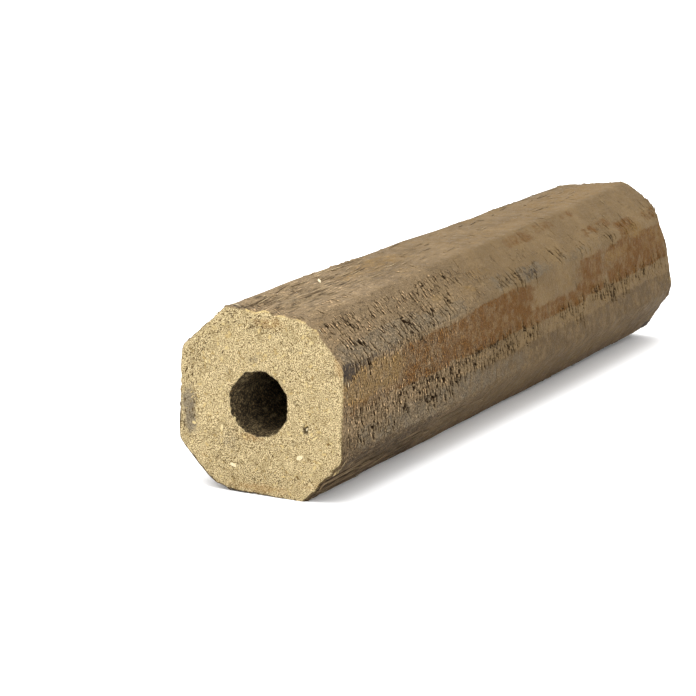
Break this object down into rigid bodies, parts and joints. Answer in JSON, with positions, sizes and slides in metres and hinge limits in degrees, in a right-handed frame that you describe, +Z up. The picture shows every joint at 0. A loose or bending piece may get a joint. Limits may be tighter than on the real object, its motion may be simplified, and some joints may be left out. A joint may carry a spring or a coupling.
{
  "type": "beech wood briquette",
  "caption": "Octagonal fuel log of pressed beech sawdust, slightly twisted along its length, with a round bore through its middle, a scorched, torn skin and pale end faces.",
  "frame": {"origin": "middle of the underside of the log's box, on the ground that it lies on", "axes": "+Y along the log, from its near end to its far end; +Z up; +X to the right as seen from the near end"},
  "size_m": [0.0686, 0.3102, 0.0673],
  "materials": {
    "pressed_wood": "scorched, satin skin with torn patches; pale, matt sawdust on the end faces; charred bore"
  },
  "bodies": {
    "root": {"briquette": "pressed_wood"}
  },
  "joints": []
}
